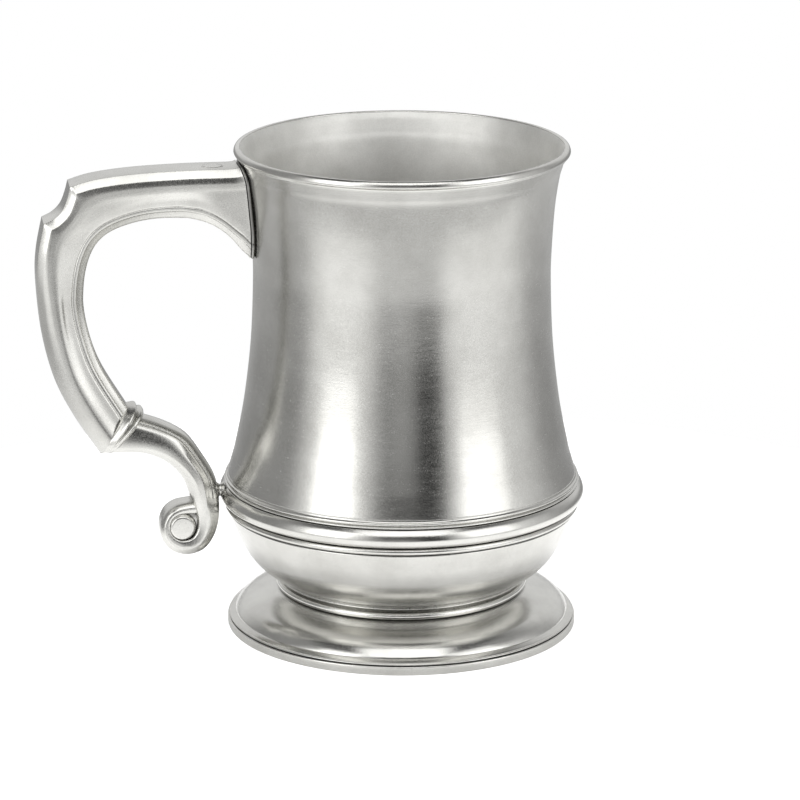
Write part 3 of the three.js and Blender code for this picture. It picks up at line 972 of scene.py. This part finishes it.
# %% Pewter builder
LIGHT_PEWTER = (0.640, 0.636, 0.610)
DEEP_PEWTER = (0.520, 0.515, 0.490)
INSIDE_PALE = (0.790, 0.786, 0.760)
INSIDE_DEEP = (0.630, 0.625, 0.600)
# Colour of the patina and the painted shade laid in the hollows.
SHADE_AND_PATINA = (0.060, 0.058, 0.050)
CLOUDINESS, SPECKLE = 0.30, 1.1
GRAIN_ROUGH, LINE_ROUGH, PATINA_ROUGH, INSIDE_ROUGH = 0.16, 0.12, 0.3, 0.32


def mask(tree, name):
    """The attribute of that name, as a number over the surface."""
    node = tree.nodes.new("ShaderNodeAttribute")
    node.attribute_name = name
    return node.outputs["Fac"]


def about(tree, value, strength):
    """A noise moved to swing about nothing, times a strength."""
    return calc(tree, "MULTIPLY", calc(tree, "SUBTRACT", value, 0.5), strength)


def pewter(name, polish, grain_depth, line_depth, start, end, darken=1.0):
    """A finish: polish is its roughness, the depths are heights in mm, patina and painted shade in the
    hollows run from start to end.
    """
    material = bpy.data.materials.new(name)
    material.use_nodes = True
    tree = material.node_tree
    shader = tree.nodes["Principled BSDF"]
    shader.inputs["Metallic"].default_value = 1.0
    coordinates = tree.nodes.new("ShaderNodeTexCoord").outputs["Object"]
    centred = tree.nodes.new("ShaderNodeMapping")
    centred.inputs["Location"].default_value = (-axis_x, 0, 0)
    tree.links.new(coordinates, centred.inputs["Vector"])
    rubbed, turning, shade_and_patina_node = [tree.nodes.new("ShaderNodeGroup") for _ in range(3)]
    for node, shared in ((rubbed, grain), (turning, lines), (shade_and_patina_node, shade_and_patina)):
        node.node_tree = shared
        tree.links.new(centred.outputs[0], node.inputs["Place"])
    tree.links.new(mask(tree, "hollow"), shade_and_patina_node.inputs["Hollow"])
    shade_and_patina_node.inputs["Start"].default_value = start
    shade_and_patina_node.inputs["End"].default_value = end
    matt = mask(tree, "inside")

    clouds = ramp(tree, rubbed.outputs["Cloud"], 0.5 - CLOUDINESS, 0.5 + CLOUDINESS)
    shade = calc(tree, "ADD", clouds, about(tree, rubbed.outputs["Grain"], SPECKLE), clamp=True)
    # darken dims both tones; on the joint plate it paints the shadow between handle and wall.
    dark, light = [tuple(darken * c for c in colour) for colour in (DEEP_PEWTER, LIGHT_PEWTER)]
    outer_metal = tone(tree, shade, dark, light)
    inner_metal = tone(tree, shade, INSIDE_DEEP, INSIDE_PALE)
    metal_colour = tone(tree, matt, outer_metal, inner_metal)
    # Patina and painted shade darken the colour in the hollows.
    tree.links.new(tone(tree, shade_and_patina_node.outputs["Shade and Patina"], metal_colour, SHADE_AND_PATINA), shader.inputs["Base Color"])

    uneven = about(tree, rubbed.outputs["Grain"], GRAIN_ROUGH)
    lined = about(tree, turning.outputs["Lines"], LINE_ROUGH)
    dull = calc(
        tree, "ADD", calc(tree, "MULTIPLY", shade_and_patina_node.outputs["Shade and Patina"], PATINA_ROUGH),
        calc(tree, "MULTIPLY", matt, INSIDE_ROUGH),
    )
    rough = calc(tree, "ADD", calc(tree, "ADD", calc(tree, "ADD", uneven, polish), lined), dull, clamp=True)
    tree.links.new(rough, shader.inputs["Roughness"])

    height = calc(
        tree, "ADD", calc(tree, "MULTIPLY", rubbed.outputs["Grain"], grain_depth),
        calc(tree, "MULTIPLY", turning.outputs["Lines"], line_depth),
    )
    bump = tree.nodes.new("ShaderNodeBump")
    bump.inputs["Distance"].default_value = MM
    tree.links.new(height, bump.inputs["Height"])
    tree.links.new(bump.outputs["Normal"], shader.inputs["Normal"])
    return material


# %% Finishes on the pieces
recipes = {
    "satin_pewter_wall": dict(polish=0.23, grain_depth=0.007, line_depth=0.010, start=0.18, end=0.70),
    "satin_pewter_foot": dict(polish=0.21, grain_depth=0.005, line_depth=0.010, start=0.09, end=0.50),
    "bright_pewter_moulding": dict(polish=0.22, grain_depth=0.003, line_depth=0.005, start=0.24, end=0.80),
    "cast_pewter_handle": dict(polish=0.25, grain_depth=0.008, line_depth=0.0, start=0.22, end=0.85),
    # darken=0.50 paints the shadow between handle and wall into the joint plate.
    "dark_pewter_joint": dict(
        polish=0.30, grain_depth=0.010, line_depth=0.0, start=0.16, end=0.60, darken=0.50,
    ),
}
finishes = {name: pewter(name, **recipe) for name, recipe in recipes.items()}
for piece in pieces:
    piece.data.materials.append(finishes[slot_of[piece.name]])
    print(slot_of[piece.name], "on", piece.name)

# %% [markdown]
# The vent plug is joint metal too, but it was filed flush and rubbed down together with the arm, so
# it wears the handle's finish and shows only by its hair line.

# %% Finish of the vent plug
vent_oval.data.materials[0] = finishes["cast_pewter_handle"]
print("vent plug wears", vent_oval.data.materials[0].name)

# %% [markdown]
# ## Floor
#
# A metal object shows nothing but its surroundings, so the studio matters as much as the finish. The
# mug stands on a plain pale disc that glows, just wide enough to light the bowl and the wall from below.
# The view sees an almost even pale sheet. For reflections the glow carries a painted shadow close to
# the foot, where the mug would shade it, a painted pool of light a little further out, and dims again
# toward its rim.

# %% Floor
FLOOR_RADIUS = 0.2
SHADE_FROM, SHADE_TO, SHADED, UNSHADED = 0.048, 0.072, 0.15, 0.85
RIM_FROM, RIM_TO, RIM_SHARE = 0.11, 0.18, 0.22
SEEN_GLOW = 0.72
bm = bmesh.new()
bmesh.ops.create_circle(bm, cap_ends=True, segments=128, radius=FLOOR_RADIUS)
bmesh.ops.translate(bm, vec=(axis_x, 0, 0), verts=bm.verts)
mesh = bpy.data.meshes.new("studio_floor")
bm.to_mesh(mesh)
bm.free()
floor = bpy.data.objects.new("studio_floor", mesh)
bpy.context.scene.collection.objects.link(floor)
pale = bpy.data.materials.new("pale_floor")
pale.use_nodes = True
pale_shader = pale.node_tree.nodes["Principled BSDF"]
pale_shader.inputs["Base Color"].default_value = (0.86, 0.86, 0.86, 1)
pale_shader.inputs["Roughness"].default_value = 0.6
pale_shader.inputs["Emission Color"].default_value = (1, 1, 1, 1)
ground = pale.node_tree
spot = ground.nodes.new("ShaderNodeVectorMath")
spot.operation = "DISTANCE"
ground.links.new(ground.nodes.new("ShaderNodeTexCoord").outputs["Object"], spot.inputs[0])
spot.inputs[1].default_value = (axis_x, 0, 0)
# Painted shadow: the floor's glow is dimmed close to the foot, with a painted pool of light just outside it.
near_foot = ramp(ground, spot.outputs["Value"], SHADE_FROM, SHADE_TO, SHADED, UNSHADED)
near_rim = ramp(ground, spot.outputs["Value"], RIM_FROM, RIM_TO, 1.0, RIM_SHARE)
pool = calc(ground, "MULTIPLY", near_foot, near_rim)
seen_floor = ground.nodes.new("ShaderNodeLightPath").outputs["Is Camera Ray"]
lift = calc(ground, "MAXIMUM", pool, calc(ground, "MULTIPLY", seen_floor, SEEN_GLOW))
ground.links.new(lift, pale_shader.inputs["Emission Strength"])
mesh.materials.append(pale)
print("floor", 2 * FLOOR_RADIUS, "m across")

# %% [markdown]
# ## Soft boxes
#
# A tall soft box stands on the left, a wider and weaker one on the right, both reaching down to the
# height of the table, and a third hangs in front, above the view. They light the sides of the wall,
# the mouldings and the edge along the top of the handle.

# %% Soft boxes
VIEW_TURN = 8.5
AIM_HEIGHT = 0.065


def soft_box(name, turn, distance, height, wide, tall, glow):
    """A rectangular light at `turn` degrees right of the view, facing the mug."""
    angle = math.radians(turn - VIEW_TURN)
    light = bpy.data.lights.new(name, "AREA")
    light.shape = "RECTANGLE"
    light.size, light.size_y = wide, tall
    light.energy = glow * wide * tall * math.pi
    box = bpy.data.objects.new(name, light)
    box.location = (axis_x + distance * math.sin(angle), -distance * math.cos(angle), height)
    aim = Vector((axis_x, 0, AIM_HEIGHT)) - box.location
    box.rotation_euler = aim.to_track_quat("-Z", "Y").to_euler()
    box.visible_camera = False
    bpy.context.scene.collection.objects.link(box)
    print(name, "at", [round(v, 3) for v in box.location])


soft_box("left_box", turn=-46, distance=0.95, height=0.44, wide=0.52, tall=0.95, glow=1.75)
soft_box("right_box", turn=57, distance=0.95, height=0.44, wide=0.62, tall=0.95, glow=1.22)
soft_box("front_box", turn=4, distance=0.62, height=0.95, wide=0.90, tall=0.80, glow=1.9)

# %% [markdown]
# ## The room
#
# The rest of the room is drawn in the world, by the turn from the view and by the height angle. It
# is a dim grey, with a bright field on the left and one on the right, a dark band above the front,
# a narrow black gap to the right of it, a pale table below, a white sheet behind and a dark ceiling
# with a pale patch straight overhead. Each field is laid over the ones before it, with soft edges.
# The view itself sees plain white, as if it looked at a seamless sheet.

# %% Directions in the room
world = bpy.data.worlds.new("studio_room")
world.use_nodes = True
room = world.node_tree
room.nodes.clear()
direction = room.nodes.new("ShaderNodeTexCoord").outputs["Generated"]


def along(vector):
    """How much a direction in the room points along a vector."""
    node = room.nodes.new("ShaderNodeVectorMath")
    node.operation = "DOT_PRODUCT"
    node.inputs[1].default_value = vector
    room.links.new(direction, node.inputs[0])
    return node.outputs["Value"]


def both(a, b):
    return calc(room, "MULTIPLY", a, b)


def lay(under, mask, level):
    """Lays an even brightness over what is there, where the mask is 1."""
    return calc(room, "ADD", both(under, calc(room, "SUBTRACT", 1.0, mask)), both(mask, level))


facing = math.radians(VIEW_TURN)
toward_view = along((-math.sin(facing), -math.cos(facing), 0))
right_of_view = along((math.cos(facing), -math.sin(facing), 0))
turn_angle = calc(room, "ARCTAN2", right_of_view, toward_view)
aside = calc(room, "ABSOLUTE", turn_angle)
rise = calc(room, "ARCSINE", along((0, 0, 1)))
deg = math.radians


def lobe(left_out, left_in, right_in, right_out):
    """A mask over the turn from the view: it rises over the first two angles, falls over the last."""
    rising = ramp(room, turn_angle, deg(left_out), deg(left_in))
    return both(rising, ramp(room, turn_angle, deg(right_out), deg(right_in)))


def climb(none, full):
    """A mask over the height angle: 0 at the first and 1 at the second."""
    return ramp(room, rise, deg(none), deg(full))


# %% Fields of the room
under_boxes, on_table, by_foot = climb(45, 30), climb(-10, -17), climb(-22, -30)
behind = both(ramp(room, aside, deg(112), deg(150)), climb(56, 34))
fields = (
    ("dim front", lobe(-50, -22, 22, 50), 0.34),
    ("paler middle of the front", lobe(-9, -2, 2, 9), 0.50),
    ("dark band above the front", both(lobe(-38, -22, 26, 42), climb(6, 15)), 0.14),
    ("table all round", climb(-10, -18), 0.78),
    ("table in front", both(lobe(-90, -60, 60, 90), climb(-11, -18)), 1.15),
    ("left field", both(lobe(-84, -64, -30, -10), under_boxes), 1.2),
    ("right field", both(lobe(24, 38, 80, 130), under_boxes), 1.12),
    ("left table", both(lobe(-80, -52, -34, -12), on_table), 1.75),
    ("right table", both(lobe(22, 42, 75, 115), on_table), 1.65),
    ("table by the foot", by_foot, 0.78),
    ("table by the foot in front", both(by_foot, lobe(-90, -50, 60, 95)), 0.86),
    ("black gap", both(lobe(9, 14, 27, 32), climb(-19, -6)), 0.0),
    ("sheet behind", both(behind, climb(-3, 8)), 1.1),
    ("dark ceiling", climb(48, 60), 0.06),
    ("patch overhead", climb(72, 78), 0.95),
)
FRONT_GREY, BACK_GREY = 0.34, 0.45
level = ramp(room, aside, deg(60), deg(100), FRONT_GREY, BACK_GREY)
for name, part, glow in fields:
    level = lay(level, part, glow)
    print(name, glow)

# %% World
seen = room.nodes.new("ShaderNodeBackground")
seen.inputs["Color"].default_value = (1, 1, 1, 1)
lit = room.nodes.new("ShaderNodeBackground")
room.links.new(level, lit.inputs["Strength"])
choose = room.nodes.new("ShaderNodeMixShader")
room.links.new(room.nodes.new("ShaderNodeLightPath").outputs["Is Camera Ray"], choose.inputs[0])
room.links.new(lit.outputs[0], choose.inputs[1])
room.links.new(seen.outputs[0], choose.inputs[2])
room.links.new(choose.outputs[0], room.nodes.new("ShaderNodeOutputWorld").inputs["Surface"])
bpy.context.scene.world = world
bpy.context.scene.view_settings.view_transform = "Standard"

# %% [markdown]
# ## Camera
#
# A long lens far away keeps the mouth of the mug a flat ellipse and its sides nearly parallel. The
# camera looks down by about sixteen degrees, from a little to the handle's side.

# %% Camera
VIEW_DISTANCE, VIEW_HEIGHT, VIEW_PITCH, VIEW_ROLL = 1.1, 0.3745, 15.91, 0.126
lens = bpy.data.cameras.new("view")
lens.lens = 194.2
lens.sensor_width = 36
lens.shift_x = -0.002
lens.clip_start = 0.05
lens.clip_end = 30
camera = bpy.data.objects.new("view", lens)
camera.location = (
    axis_x - VIEW_DISTANCE * math.sin(facing), -VIEW_DISTANCE * math.cos(facing), VIEW_HEIGHT,
)
camera.rotation_euler = (
    Matrix.Rotation(-facing, 3, "Z") @ Matrix.Rotation(math.radians(90 - VIEW_PITCH), 3, "X")
    @ Matrix.Rotation(math.radians(VIEW_ROLL), 3, "Z")
).to_euler()
bpy.context.scene.collection.objects.link(camera)
bpy.context.scene.camera = camera
